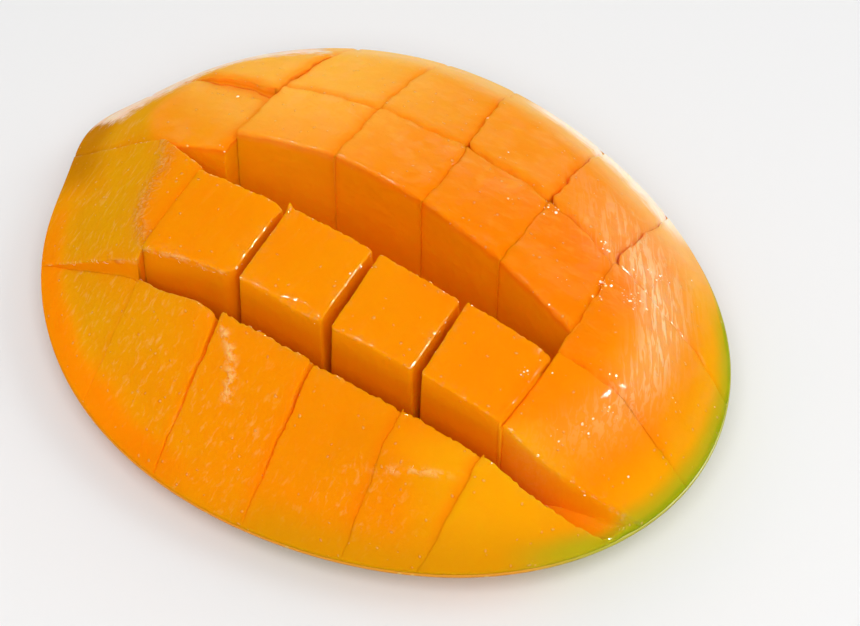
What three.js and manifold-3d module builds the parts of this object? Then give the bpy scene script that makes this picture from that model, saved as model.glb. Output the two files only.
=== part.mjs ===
// A mango cheek lying on its skin, its flesh scored into blocks and pressed partly open.
// Millimetres, +Z up. The rows of blocks run along +X, the far rim is at +Y.
// The origin is under the middle of the piece, on the flat spot it rests on.
import * as THREE from 'three';
import Module from 'manifold-3d';

const wasm = await Module();
wasm.setup();

// rim: the oval where flesh and skin meet
const RIM_HALF_LENGTH = 56.4;
const RIM_HALF_WIDTH = 46.4;
const RIM_SQUARENESS = { amount: 0.025, turn: 0.8 }; // swells the oval towards two opposite corners
const RIM_EGG = { amount: 0.0185, turn: 0.1 }; // makes one end of the oval blunter
const RIM_CORNER = { reach: 2.4, at: 177, spread: 8 }; // the oval's left end comes to a blunt corner
const RIM_HEIGHT = 8.7;
const RIM_LEAN = 3; // the far rim is this much higher, the near rim this much lower
const RIM_LIP = 1.2; // height of the cut edge of the skin

// skin: a shallow bowl around a flat resting spot
const REST_SPOT = 0.2; // part of the rim size
const BOWL_POWER = 2;

// sides: the slope of the flesh from the rim up to the scored top; angles are degrees round the rim
const SIDE_SLOPE = 0.74;
const STEEPER_SIDES = [
  { extra: 0.66, at: -38, spread: 17 },
  { extra: 0.42, at: -4, spread: 18 },
  { extra: 0.14, at: -64, spread: 18 },
  { extra: 0.09, at: -112, spread: 30 },
  { extra: 0.18, at: 80, spread: 60 },
  { extra: 0.25, at: 160, spread: 18 },
];
const RAISED_END = { extra: 0.28, at: -143, spread: 22 }; // only on the third row
const CREASE_ROUNDING = 0.6; // where the top turns over into the sides
const SOFTER_CREASES = [
  { extra: 3.2, at: 20, spread: 22 },
  { extra: 1.5, at: 95, spread: 50 },
];

// long cuts: a bow across the middle blocks, and a straight end through the first and last block
const THIN_CUT = 0.5;
const FAR_CUT = {
  y: 21.9,
  bow: 0.0054,
  power: 2,
  middle: -1.4,
  leftEnd: { x: -28.7, y: 15.4, slope: 0.07 },
  rightEnd: { x: 34.5, y: 15.6, slope: -0.22 },
};
const WIDE_CUT = {
  y: 1.5,
  bow: 0.024,
  power: 1.46,
  middle: -6,
  leftEnd: { x: -28.7, y: -2.2, slope: 0.03 },
  rightEnd: { x: 35, y: -5.4, slope: 0 },
};
const WIDE_CUT_OPENING = { width: 13.8, peak: -6, left: -37, right: 48 };
const WIDE_CUT_LEFT_END = { width: 5.4, reach: 9 }; // in the first block it closes over this length
const NEAR_CUT_FAR_EDGE = -20.3;
const NEAR_CUT_NEAR_EDGE = -24.4;
const NEAR_CUT_LEFT_END = -23.3; // closed there
const NEAR_CUT_LEFT_TURN = { reach: 1.5, from: -29, to: -13 };
const NEAR_CUT_BEND = { from: 36, to: 53, reach: 4.7 }; // its right end turns to follow the rim

// rows: height at the middle of the piece and slope along the width and the length
const SECOND_ROW = { height: 28, alongY: -0.13, alongX: -0.02 };
const THIRD_ROW = { height: 29.6, alongY: 0.095, alongX: -0.017 };
const FAR_ROW_FALL = 0.36;
const NEAR_ROW = { height: 23.4, leftFall: 0.76, rightFall: 0.36, turnsFrom: 12, turnsTo: 24 };
const DROOP = { rate: 0.0038, from: 10, middle: 5 }; // both ends of the rows hang

// cross cuts: where they pass the middle, how they lean, and how much wider they stand in each row
const CROSS_CUTS = [
  { x: -28.7, skew: -0.044, bow: 0, farLean: 0, extra: [0, 0, 0.2, 0] },
  { x: -12.5, skew: -0.044, bow: 0, farLean: 0.05, extra: [0, 0, 1.1, 0.2] },
  { x: 3.85, skew: -0.044, bow: 0, farLean: 0.18, extra: [0.4, 0, 1.4, 0.5] },
  { x: 19.6, skew: -0.044, bow: 0, farLean: 0.08, extra: [0.3, 0, 1.3, 0] },
  { x: 35.3, skew: 0, bow: 0.004, farLean: -0.26, extra: [0, 0, 0.3, 0] },
];
const CROSS_BOW_MIDDLE = -10;
const FAR_LEAN_FROM = 19;
const SIDE_CUT_CLOSES = { from: 21, over: 12 }; // in the outer rows the cross cuts close outwards
const FIRST_COLUMN = 0;
const LAST_COLUMN = CROSS_CUTS.length;

const BLOCK_STRAIGHTNESS = 0.8; // a row mostly bends at the cross cuts, its blocks nearly straight

const UNCUT_FLESH = 5.5; // left standing on the skin below every cut

// closeness of the facets
const RIM_STEPS = 72;
const BOWL_STEPS = 11;
const BLOCK_STEPS = 5;
const END_BLOCK_STEPS = 10;
const SIDE_ROW_STEPS = 9;

const BELOW_ALL = -12;
const ABOVE_ALL = 48;
const OUTSIDE_LENGTH = 61; // beyond the piece in plan
const OUTSIDE_WIDTH = 49.5;

function wrapDegrees(angle) {
  return ((angle + 540) % 360) - 180;
}

function hump(angle, middle, spread) {
  const away = wrapDegrees(angle - middle) / spread;
  return Math.exp(-away * away);
}

function rimRadius(angle) {
  const oval = 1 / Math.hypot(Math.cos(angle) / RIM_HALF_LENGTH, Math.sin(angle) / RIM_HALF_WIDTH);
  const square = RIM_SQUARENESS.amount * Math.cos(2 * angle + RIM_SQUARENESS.turn);
  const egg = RIM_EGG.amount * Math.cos(3 * angle + RIM_EGG.turn);
  const degrees = THREE.MathUtils.radToDeg(angle);
  const corner = RIM_CORNER.reach * hump(degrees, RIM_CORNER.at, RIM_CORNER.spread);
  return oval * (1 + square + egg) + corner;
}

function rimHeight(angle) {
  return RIM_HEIGHT + RIM_LEAN * Math.sin(angle);
}

function skinHeight(part, angle) {
  const rise = Math.max(0, (part - REST_SPOT) / (1 - REST_SPOT));
  return rimHeight(angle) * rise ** BOWL_POWER;
}

function sumOfHumps(list, angle) {
  const degrees = THREE.MathUtils.radToDeg(angle);
  return list.reduce((sum, { extra, at, spread }) => sum + extra * hump(degrees, at, spread), 0);
}

function sideHeight(x, y, moreSlope = []) {
  const angle = Math.atan2(y, x);
  const slope = SIDE_SLOPE + sumOfHumps([...STEEPER_SIDES, ...moreSlope], angle);
  return rimHeight(angle) + RIM_LIP + slope * (rimRadius(angle) - Math.hypot(x, y));
}

function floorHeight(x, y) {
  const angle = Math.atan2(y, x);
  const skin = skinHeight(Math.hypot(x, y) / rimRadius(angle), angle);
  return skin + Math.min(UNCUT_FLESH, 0.5 * (sideHeight(x, y) - skin));
}

function roundedLower(a, b, rounding) {
  return 0.5 * (a + b - Math.hypot(a - b, rounding));
}

function droop(x) {
  const beyond = Math.max(0, Math.abs(x - DROOP.middle) - DROOP.from);
  return DROOP.rate * beyond * beyond;
}

function cutBow(cut, x) {
  return cut.y - cut.bow * Math.abs(x - cut.middle) ** cut.power;
}

function straightened(curve, x, column) {
  const left = CROSS_CUTS[column - 1].x;
  const right = CROSS_CUTS[column].x;
  const chord = THREE.MathUtils.lerp(curve(left), curve(right), (x - left) / (right - left));
  return THREE.MathUtils.lerp(curve(x), chord, BLOCK_STRAIGHTNESS);
}

function straightEnd(end, x) {
  return end.y + end.slope * (x - end.x);
}

function cutLine(cut, x, column) {
  if (column === FIRST_COLUMN) {
    return straightEnd(cut.leftEnd, x);
  }
  if (column === LAST_COLUMN) {
    return straightEnd(cut.rightEnd, x);
  }
  return straightened((place) => cutBow(cut, place), x, column);
}

function wideCutOpening(x) {
  const { width, peak, left, right } = WIDE_CUT_OPENING;
  const towardsLeft = THREE.MathUtils.clamp((peak - x) / (peak - left), 0, 1);
  const towardsRight = THREE.MathUtils.clamp((x - peak) / (right - peak), 0, 1);
  return width * (1 - towardsLeft ** 4 - towardsRight ** 2);
}

function wideCutWidth(x, column) {
  if (column === LAST_COLUMN) {
    return THIN_CUT;
  }
  if (column === FIRST_COLUMN) {
    const { width, reach } = WIDE_CUT_LEFT_END;
    const along = THREE.MathUtils.clamp(1 + (x - WIDE_CUT.leftEnd.x) / reach, 0, 1);
    return Math.max(THIN_CUT, width * along);
  }
  return Math.max(THIN_CUT, straightened(wideCutOpening, x, column));
}

function nearCutBend(x) {
  const along = Math.max(0, x - NEAR_CUT_BEND.from) / (NEAR_CUT_BEND.to - NEAR_CUT_BEND.from);
  return NEAR_CUT_BEND.reach * along ** 1.5;
}

function nearCutFarEdge(x, column) {
  if (column === FIRST_COLUMN) {
    return NEAR_CUT_LEFT_END + THIN_CUT;
  }
  const { reach, from, to } = NEAR_CUT_LEFT_TURN;
  const turn = reach * (1 - THREE.MathUtils.smoothstep(x, from, to));
  return NEAR_CUT_FAR_EDGE - turn + nearCutBend(x);
}

function nearCutNearEdge(x) {
  const along = THREE.MathUtils.smoothstep(x, -30, -22);
  return THREE.MathUtils.lerp(NEAR_CUT_LEFT_END, NEAR_CUT_NEAR_EDGE, along) + nearCutBend(x);
}

function secondRowHeight(x, y) {
  return SECOND_ROW.height + SECOND_ROW.alongY * y + SECOND_ROW.alongX * x - droop(x);
}

function thirdRowHeight(x, y) {
  return THIRD_ROW.height + THIRD_ROW.alongY * y + THIRD_ROW.alongX * x - droop(x);
}

function farRowHeight(x, y) {
  const line = cutBow(FAR_CUT, x);
  return secondRowHeight(x, line) - FAR_ROW_FALL * (y - line);
}

function nearRowHeight(x, y) {
  const turned = THREE.MathUtils.smoothstep(x, NEAR_ROW.turnsFrom, NEAR_ROW.turnsTo);
  const fall = THREE.MathUtils.lerp(NEAR_ROW.leftFall, NEAR_ROW.rightFall, turned);
  return NEAR_ROW.height + fall * (y - nearCutNearEdge(x)) - droop(x);
}

// rows from the far side: edges, height of the top, facets across, lift of each block from the left
const ROWS = [
  {
    far: () => OUTSIDE_WIDTH,
    near: (x, column) => cutLine(FAR_CUT, x, column) + THIN_CUT / 2,
    top: farRowHeight,
    moreSlope: [],
    steps: SIDE_ROW_STEPS,
    lifts: [1.3, 0.3, -0.2, 0.15, -0.1, -0.2],
  },
  {
    far: (x, column) => cutLine(FAR_CUT, x, column) - THIN_CUT / 2,
    near: (x, column) => cutLine(WIDE_CUT, x, column) + wideCutWidth(x, column) / 2,
    top: secondRowHeight,
    moreSlope: [],
    steps: BLOCK_STEPS,
    lifts: [-0.6, 0.2, 0.3, 0.3, 0.3, 0],
  },
  {
    far: (x, column) => cutLine(WIDE_CUT, x, column) - wideCutWidth(x, column) / 2,
    near: nearCutFarEdge,
    top: thirdRowHeight,
    moreSlope: [RAISED_END],
    steps: BLOCK_STEPS,
    lifts: [-0.4, -0.2, 0.2, 0.1, 0.4, -0.2],
  },
  {
    far: nearCutNearEdge,
    near: () => -OUTSIDE_WIDTH,
    top: nearRowHeight,
    moreSlope: [],
    steps: SIDE_ROW_STEPS,
    lifts: [-0.2, 0.3, 0.4, -0.4, 0.1, 0.3],
  },
];

function crossCutLine(index, y) {
  const { x, skew, bow, farLean } = CROSS_CUTS[index];
  const bowed = bow * (y - CROSS_BOW_MIDDLE) ** 2;
  return x + skew * y - bowed - farLean * Math.max(0, y - FAR_LEAN_FROM);
}

function crossCutHalfWidth(index, row, y) {
  const { from, over } = SIDE_CUT_CLOSES;
  const open = 1 - THREE.MathUtils.clamp((Math.abs(y) - from) / over, 0, 1);
  return (THIN_CUT + CROSS_CUTS[index].extra[ROWS.indexOf(row)] * open) / 2;
}

// where a block in this column starts and ends along the row
function columnEdges(row, column, y) {
  const isFirst = column === FIRST_COLUMN;
  const isLast = column === LAST_COLUMN;
  const cut = column - 1;
  return [
    isFirst ? -OUTSIDE_LENGTH : crossCutLine(cut, y) + crossCutHalfWidth(cut, row, y),
    isLast ? OUTSIDE_LENGTH : crossCutLine(column, y) - crossCutHalfWidth(column, row, y),
  ];
}

function solidFrom(points, faces) {
  const mesh = new wasm.Mesh({
    numProp: 3,
    vertProperties: new Float32Array(points.flat()),
    triVerts: new Uint32Array(faces.flat()),
  });
  return new wasm.Manifold(mesh);
}

// a closed block between two point grids of the same layout, the upper one seen from above
function blockBetween(upper, lower) {
  const rows = upper.length;
  const columns = upper[0].length;
  const points = [...upper.flat(), ...lower.flat()];
  const up = (i, j) => i * columns + j;
  const down = (i, j) => rows * columns + up(i, j);
  const faces = [];
  const quad = (a, b, c, d) => faces.push([a, b, c], [a, c, d]);
  for (let i = 0; i < rows - 1; i += 1) {
    for (let j = 0; j < columns - 1; j += 1) {
      quad(up(i, j), up(i + 1, j), up(i + 1, j + 1), up(i, j + 1));
      quad(down(i, j), down(i, j + 1), down(i + 1, j + 1), down(i + 1, j));
    }
  }
  for (let i = 0; i < rows - 1; i += 1) {
    quad(up(i + 1, 0), up(i, 0), down(i, 0), down(i + 1, 0));
    quad(up(i, columns - 1), up(i + 1, columns - 1), down(i + 1, columns - 1), down(i, columns - 1));
  }
  for (let j = 0; j < columns - 1; j += 1) {
    quad(up(0, j), up(0, j + 1), down(0, j + 1), down(0, j));
    quad(up(rows - 1, j + 1), up(rows - 1, j), down(rows - 1, j), down(rows - 1, j + 1));
  }
  return solidFrom(points, faces);
}

function stepsBetween(from, to, count) {
  return Array.from({ length: count + 1 }, (_, i) => from + ((to - from) * i) / count);
}

// rings of points around the middle, out to a given part of the rim
function ringsOf(heightAt, outermost, steps) {
  const rings = [];
  for (let i = 1; i <= steps; i += 1) {
    const part = (outermost * i) / steps;
    for (let j = 0; j < RIM_STEPS; j += 1) {
      const angle = (2 * Math.PI * j) / RIM_STEPS;
      const radius = part * rimRadius(angle);
      rings.push([radius * Math.cos(angle), radius * Math.sin(angle), heightAt(part, angle)]);
    }
  }
  return rings;
}

// a closed round block: a curved face of rings, a flat face opposite, a wall between
function roundBlock(heightAt, outermost, steps, flatHeight, curvedIsUp) {
  const points = [[0, 0, heightAt(0, 0)], ...ringsOf(heightAt, outermost, steps)];
  const wall = points.length;
  const lastRing = points.slice(wall - RIM_STEPS);
  points.push(...lastRing.map(([x, y]) => [x, y, flatHeight]), [0, 0, flatHeight]);
  const faces = [];
  const face = (a, b, c) => faces.push(curvedIsUp ? [a, b, c] : [a, c, b]);
  const ring = (i, j) => (i === 0 ? 0 : 1 + (i - 1) * RIM_STEPS + (j % RIM_STEPS));
  for (let j = 0; j < RIM_STEPS; j += 1) {
    face(0, ring(1, j), ring(1, j + 1));
    for (let i = 1; i < steps; i += 1) {
      face(ring(i, j), ring(i + 1, j), ring(i + 1, j + 1));
      face(ring(i, j), ring(i + 1, j + 1), ring(i, j + 1));
    }
    const here = wall + j;
    const next = wall + ((j + 1) % RIM_STEPS);
    face(ring(steps, j), here, next);
    face(ring(steps, j), next, ring(steps, j + 1));
    face(wall + RIM_STEPS, next, here);
  }
  return solidFrom(points, faces);
}

// everything above the skin and inside the rim
function insideSkin() {
  return roundBlock(skinHeight, 1, BOWL_STEPS, ABOVE_ALL, false);
}

// everything below the bottom of the cuts
function belowCuts() {
  const heightAt = (part, angle) => {
    const radius = part * rimRadius(angle);
    return floorHeight(radius * Math.cos(angle), radius * Math.sin(angle));
  };
  return roundBlock(heightAt, 1.1, BOWL_STEPS, BELOW_ALL, true);
}

// a point of a block in plan, the long and cross cuts leaning on each other
function planPoint(row, column, along, across) {
  let x = 0;
  let y = (row.near(0, column) + row.far(0, column)) / 2;
  for (let i = 0; i < 6; i += 1) {
    const [start, end] = columnEdges(row, column, y);
    x = start + (end - start) * along;
    y = row.near(x, column) + (row.far(x, column) - row.near(x, column)) * across;
  }
  return [x, y];
}

function blockTop(row, column, x, y) {
  const rounding = CREASE_ROUNDING + sumOfHumps(SOFTER_CREASES, Math.atan2(y, x));
  return roundedLower(row.top(x, y) + row.lifts[column], sideHeight(x, y, row.moreSlope), rounding);
}

function blockSolid(row, column) {
  const isEnd = column === FIRST_COLUMN || column === LAST_COLUMN;
  const lengthSteps = isEnd ? END_BLOCK_STEPS : BLOCK_STEPS;
  const upper = stepsBetween(0, 1, lengthSteps).map((along) => (
    stepsBetween(0, 1, row.steps).map((across) => {
      const [x, y] = planPoint(row, column, along, across);
      return [x, y, blockTop(row, column, x, y)];
    })
  ));
  const lower = upper.map((line) => line.map(([x, y]) => [x, y, BELOW_ALL]));
  return blockBetween(upper, lower);
}

function cheekSolid() {
  let standing = belowCuts();
  for (const row of ROWS) {
    for (let column = 0; column <= LAST_COLUMN; column += 1) {
      standing = standing.add(blockSolid(row, column));
    }
  }
  return insideSkin().intersect(standing);
}

function toGeometry(solid) {
  const mesh = solid.getMesh();
  const geometry = new THREE.BufferGeometry();
  geometry.setAttribute('position', new THREE.BufferAttribute(mesh.vertProperties, 3));
  geometry.setIndex(new THREE.BufferAttribute(mesh.triVerts, 1));
  geometry.computeVertexNormals();
  return geometry;
}

function mangoCheek() {
  const material = new THREE.MeshStandardMaterial({ color: 0xf59a1e, roughness: 0.35, metalness: 0 });
  const cheek = new THREE.Mesh(toGeometry(cheekSolid()), material);
  cheek.name = 'mango_cheek';
  return cheek;
}

const part = new THREE.Group();
part.name = 'sliced_mango';
part.add(mangoCheek());

export default part;
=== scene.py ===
import math

import bmesh
import bpy
import numpy as np
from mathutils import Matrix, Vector


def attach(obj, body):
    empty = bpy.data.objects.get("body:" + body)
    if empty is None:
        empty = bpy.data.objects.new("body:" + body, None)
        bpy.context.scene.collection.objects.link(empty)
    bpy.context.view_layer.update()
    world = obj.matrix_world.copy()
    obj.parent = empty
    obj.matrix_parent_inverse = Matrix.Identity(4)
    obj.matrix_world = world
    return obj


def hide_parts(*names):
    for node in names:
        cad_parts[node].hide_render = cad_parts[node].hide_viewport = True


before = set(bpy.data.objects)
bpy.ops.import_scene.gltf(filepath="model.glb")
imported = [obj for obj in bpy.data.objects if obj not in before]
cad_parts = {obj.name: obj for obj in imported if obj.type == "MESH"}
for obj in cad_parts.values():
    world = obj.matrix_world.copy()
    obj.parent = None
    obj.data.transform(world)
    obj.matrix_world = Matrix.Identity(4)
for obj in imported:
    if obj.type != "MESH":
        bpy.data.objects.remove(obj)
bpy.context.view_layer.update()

mm = 0.001
print("frame loaded:", sorted(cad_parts))


def addObject(name, data):
    item = bpy.data.objects.new(name, data)
    bpy.context.scene.collection.objects.link(item)
    return item


class Wire:
    # one node output that ordinary arithmetic can be done on
    def __init__(self, board, socket):
        self.board = board
        self.socket = socket

    def math(self, operation, *others):
        values = dict(enumerate((self, *others)))
        return self.board.add("ShaderNodeMath", {"operation": operation}, values)

    def __add__(self, other):
        return self.math("ADD", other)

    def __radd__(self, other):
        return self.math("ADD", other)

    def __sub__(self, other):
        return self.math("SUBTRACT", other)

    def __rsub__(self, other):
        return self.board.add("ShaderNodeMath", {"operation": "SUBTRACT"}, {0: other, 1: self})

    def __mul__(self, other):
        return self.math("MULTIPLY", other)

    def __rmul__(self, other):
        return self.math("MULTIPLY", other)

    def __truediv__(self, other):
        return self.math("DIVIDE", other)

    def __rtruediv__(self, other):
        return self.board.add("ShaderNodeMath", {"operation": "DIVIDE"}, {0: other, 1: self})

    def __pow__(self, other):
        return self.math("POWER", other)

    def output(self, name):
        return Wire(self.board, self.socket.node.outputs[name])


class Board:
    # a node tree, the one method that adds a node to it, and short ways to call it
    def __init__(self, tree, palette=None):
        self.tree = tree
        self.palette = {name: (*colour, 1) for name, colour in (palette or {}).items()}
        self.colour = None

    def add(self, kind, settings=None, values=None, output=None):
        node = self.tree.nodes.new(kind)
        for name, value in (settings or {}).items():
            setattr(node, name, value)
        for key, value in (values or {}).items():
            socket = node.inputs[key]
            for item in value if isinstance(value, list) else [value]:
                if isinstance(item, Wire):
                    self.tree.links.new(item.socket, socket)
                else:
                    socket.default_value = item
        if not node.outputs:
            return None
        if output is None:
            output = next(i for i, socket in enumerate(node.outputs) if socket.enabled)
        return Wire(self, node.outputs[output])

    def mix(self, amount, first, second):
        return self.add("ShaderNodeMix", {"data_type": "RGBA"}, {0: amount, 6: first, 7: second})

    def paint(self, amount, name):
        # lay one more of the palette's colours over what is there
        self.colour = self.mix(amount, self.colour, self.palette[name])

    def blend(self, amount, first, second):
        return self.mix(amount, self.palette[first], self.palette[second])

    def ease(self, value, low, high):
        # 0 below low and 1 above high, smooth between
        values = {"Value": value, "From Min": low, "From Max": high}
        return self.add("ShaderNodeMapRange", {"interpolation_type": "SMOOTHSTEP"}, values)

    def noise(self, vector, scale, detail=2.0, roughness=0.5, distortion=0.0):
        values = {"Vector": vector, "Scale": scale, "Detail": detail, "Roughness": roughness,
                  "Distortion": distortion}
        return self.add("ShaderNodeTexNoise", {}, values)

    def vector(self, operation, first, second=(0, 0, 0), output=None):
        return self.add("ShaderNodeVectorMath", {"operation": operation}, {0: first, 1: second}, output)

    def joined(self, x=0.0, y=0.0, z=0.0):
        return self.add("ShaderNodeCombineXYZ", {}, {"X": x, "Y": y, "Z": z})

    def split(self, vector):
        # x of a vector; its y and z are taken with output()
        return self.add("ShaderNodeSeparateXYZ", {}, {0: vector}, "X")

    def where(self):
        return self.add("ShaderNodeTexCoord", {}, {}, "Object")

    def mark(self, name):
        return self.add("ShaderNodeAttribute", {"attribute_name": name}, {}, "Fac")

    def cells(self, vector, scale):
        # distance to the nearest of many scattered points
        return self.add("ShaderNodeTexVoronoi", {}, {"Vector": vector, "Scale": scale}, "Distance")

    def bump(self, height, strength, distance):
        values = {"Strength": strength, "Distance": distance, "Height": height}
        return self.add("ShaderNodeBump", {}, values)

    def surface(self, values):
        shader = self.add("ShaderNodeBsdfPrincipled", {}, values)
        self.add("ShaderNodeOutputMaterial", {}, {"Surface": shader})


class Recipe(Board):
    # a geometry node tree with named inputs
    def __init__(self, title, sizes, base=False):
        super().__init__(bpy.data.node_groups.new(title, "GeometryNodeTree"))
        self.title = title
        self.identifiers = {}
        face = self.tree.interface
        if base:
            face.new_socket("Geometry", in_out="INPUT", socket_type="NodeSocketGeometry")
        for name, value in sizes.items():
            kind = "NodeSocketInt" if isinstance(value, int) else "NodeSocketFloat"
            self.identifiers[name] = face.new_socket(name, in_out="INPUT", socket_type=kind).identifier
        face.new_socket("Geometry", in_out="OUTPUT", socket_type="NodeSocketGeometry")
        self.source = self.tree.nodes.new("NodeGroupInput")
        self.sizes = sizes

    def given(self, name):
        return Wire(self, self.source.outputs[name])

    def named(self, attribute):
        settings = {"data_type": "FLOAT"}
        return self.add("GeometryNodeInputNamedAttribute", settings, {"Name": attribute}, "Attribute")

    def chance(self, low, high, seed):
        values = {"Min": low, "Max": high, "Seed": seed}
        return self.add("FunctionNodeRandomValue", {"data_type": "FLOAT"}, values, "Value")

    def scatter(self, share):
        # points on the faces, a share of Density for each square metre
        settings = {"distribute_method": "RANDOM"}
        return self.add("GeometryNodeDistributePointsOnFaces", settings, {
            "Mesh": self.given("Geometry"), "Density": share * self.given("Density"),
            "Seed": self.given("Seed")}, "Points")

    def placed(self, points, shape, turn, size):
        return self.add("GeometryNodeInstanceOnPoints", {}, {
            "Points": points, "Instance": shape, "Rotation": turn, "Scale": size})

    def smoothed(self, geometry):
        return self.add("GeometryNodeSetShadeSmooth", {}, {"Geometry": geometry, "Shade Smooth": True})

    def merged(self, geometry):
        return self.add("GeometryNodeMergeByDistance", {}, {"Geometry": geometry, "Distance": 1e-6})

    def finish(self, geometry, material):
        real = self.add("GeometryNodeRealizeInstances", {}, {"Geometry": geometry})
        painted = self.add("GeometryNodeSetMaterial", {}, {"Geometry": real, "Material": material})
        self.add("NodeGroupOutput", {}, {"Geometry": painted})

    def make(self, name, baseMesh=None):
        # run the tree on a mesh, or on nothing, and keep the result as a plain mesh
        holder = addObject(name + "Holder", baseMesh or bpy.data.meshes.new(name + "Empty"))
        modifier = holder.modifiers.new(self.title, "NODES")
        modifier.node_group = self.tree
        for size, value in self.sizes.items():
            modifier[self.identifiers[size]] = value
        seen = holder.evaluated_get(bpy.context.evaluated_depsgraph_get())
        mesh = bpy.data.meshes.new_from_object(seen)
        holder.modifiers.remove(modifier)
        bpy.data.objects.remove(holder)
        mesh.name = name
        print(name, "has", len(mesh.polygons), "faces")
        return addObject(name, mesh)


def newMaterial(name, palette=None):
    material = bpy.data.materials.new(name)
    material.use_nodes = True
    material.node_tree.nodes.clear()
    return material, Board(material.node_tree, palette)


def toLinear(*screen):
    # a screen colour, 0 to 255, as the linear colour a shader wants
    shares = [value / 255 for value in screen]
    return [share / 12.92 if share <= 0.04045 else ((share + 0.055) / 1.055) ** 2.4 for share in shares]


# the cheek's shape in millimetres: x runs along it, y across, z up from the resting spot
# rows count from 0, the farthest, to 3, and columns from 0, the leftmost block, to 5

rim = {"halfLength": 56.4, "halfWidth": 46.4, "squareness": 0.025, "egg": 0.0185,
       "cornerReach": 2.4, "cornerAt": 177, "cornerSpread": 8, "height": 8.7, "lean": 3.0, "lip": 1.2}
bowl = {"restSpot": 0.2, "power": 2.0, "skin": 0.6, "edge": 0.03, "greenEdge": (0.12, 5, 45),
        "uncutFlesh": 5.5, "uncutShare": 0.4, "overlap": 0.06, "inset": 0.05, "ringPower": 0.8}
# extras, raised and softer are each how much, towards what angle in degrees, and how wide a spread
sides = {"slope": 0.74, "extras": [(0.66, -38, 17), (0.42, -4, 18), (0.14, -64, 18), (0.09, -112, 30),
                                   (0.18, 80, 60), (0.25, 160, 18)],
         "raised": (0.28, -143, 22), "rounding": 0.45, "softer": [(3.2, 20, 22), (1.5, 95, 50)]}
thinCut = {"width": 0.01, "bottom": 0.008, "fadeFrom": 0.3, "fadeTo": 4.5}
# a long cut bows about its middle; its ends are straight: where each starts, its y there and its slope
farCut = {"y": 21.9, "bow": 0.0054, "power": 2, "middle": -1.4,
          "leftEnd": (-28.7, 15.4, 0.07), "rightEnd": (34.5, 15.6, -0.22)}
wideCut = {"y": 1.5, "bow": 0.024, "power": 1.46, "middle": -6,
           "leftEnd": (-28.7, -2.2, 0.03), "rightEnd": (35, -5.4, 0)}
opening = {"width": 13.8, "peak": -6, "left": -37, "right": 48, "bottom": 0.88,
           "leftEnd": 5.4, "leftEndReach": 9}
nearCut = {"farEdge": -20.3, "nearEdge": -24.4, "leftEnd": -23.3, "leftTurn": 1.5, "bendFrom": 36,
           "bendTo": 53, "bendReach": 4.7, "narrowing": 0.5, "openEndAt": -22, "openEndSpread": 14,
           "openEndFade": 1.2, "turnOver": (-29, -13), "widenOver": (-30, -22), "tuckOver": (-30, -24)}
crossCuts = {"x": [-28.7, -12.5, 3.85, 19.6, 35.3], "skew": [-0.044, -0.044, -0.044, -0.044, 0],
             "bow": [0, 0, 0, 0, 0.004], "farLean": [0, 0.05, 0.18, 0.08, -0.26],
             "far": [0, 0, 0.6, 0.7, 0.5], "third": [0.05, 1.2, 1.5, 1.4, 0.3],
             "near": [0.2, 0.75, 0.6, 0.1, 0], "bottom": 0.3, "straightness": 0.8}
# second and third: the row's height, and how it changes along y and along x
rowShape = {"second": (28, -0.13, -0.02), "third": (29.6, 0.095, -0.017), "farFall": 0.36,
            "near": 23.4, "nearLeftFall": 0.76, "nearRightFall": 0.36, "turns": (12, 24),
            "droop": 0.0038, "droopFrom": 10, "droopMiddle": 5}
# how far each block stands above its row, or its outer slope above the rim's
blockLifts = [[1.3, 0.3, -0.2, 0.2, 0.3, 0.0],
              [-0.6, 0.2, 0.3, 0.3, 0.3, 0],
              [-0.4, -0.2, 0.2, 0.1, 0.4, -0.2],
              [-0.2, 0.3, 0.4, -0.4, 0.1, 0.3]]
slopeLifts = {(3, 0): -0.5, (3, 1): 0.15, (1, 5): 0.35, (0, 5): -0.15, (0, 3): 0.15, (2, 5): -0.25}
blockTilts = np.random.default_rng(11).uniform(-0.018, 0.018, (4, 6, 2))
# where two blocks touch, the cut is a shallow crease; past open it is a slot down to its floor
# two of these set how strong the painted shade along a closed crease is and how far it reaches
touching = {"depth": 0.018, "growth": 2.0, "closed": 0.75, "open": 1.15, "soft": 0.42,
            "touched": 0.1, "sharp": 1.0, "step": 0.3, "stepReach": 2.2, "seam": 0.62, "notch": 1.1,
            "creaseShadeReach": {"right": 1.3, "near": 1.5, "left": 0.3, "far": 0.3},
            "roll": {"right": 1.6, "near": 1.7, "left": 0.55, "far": 0.55},
            "puffed": {(0, 3): 0.65, (0, 4): 0.85, (0, 5): 0.65}}
wander = {"rows": [0.16, 0.14, 0, 0.1], "farCut": 0.2}
# edges of the blocks: per row, then the blocks and corners that differ
cutEdge = {"radius": [0.8, 0.7, 0.34, 0.3], "rim": 0.25,
           "corners": {"near": [0.9, 0.16, 0.5, 0.5], "far": [0.9, 0.6, 0.5, 0.5]},
           "softer": {(0, 3): 1.1, (0, 4): 1.3, (0, 5): 0.9, (1, 3): 0.8, (1, 4): 0.9, (1, 5): 0.9,
                      (2, 5): 0.6},
           "roundest": {(2, 1, "near", "right"): 1.8, (3, 1, "far", "right"): 1.3,
                        (0, 3, "near", "left"): 1.9, (0, 4, "near", "left"): 2.2,
                        (0, 3, "near", "right"): 1.6, (0, 2, "near", "right"): 1.6,
                        (2, 1, "near", "left"): 0.15},
           "wet": [0.35, 0.3, 1, 0.35], "wetWidth": 0.7, "wetDepth": 0.8, "wallDepth": 1.2, "tooth": 1.35,
           "rolls": {(2, 1): 0.8, (3, 1): 1.0, (2, 4): 0.7, (1, 3): 0.6}, "roll": 0.3, "rollSpread": 1.8,
           "thorns": {(2, 2): 1.3}, "thornWidth": 0.5}
calmBlocks = {(3, 0): 0.3, (3, 1): 0.3, (2, 0): 0.5}
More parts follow.
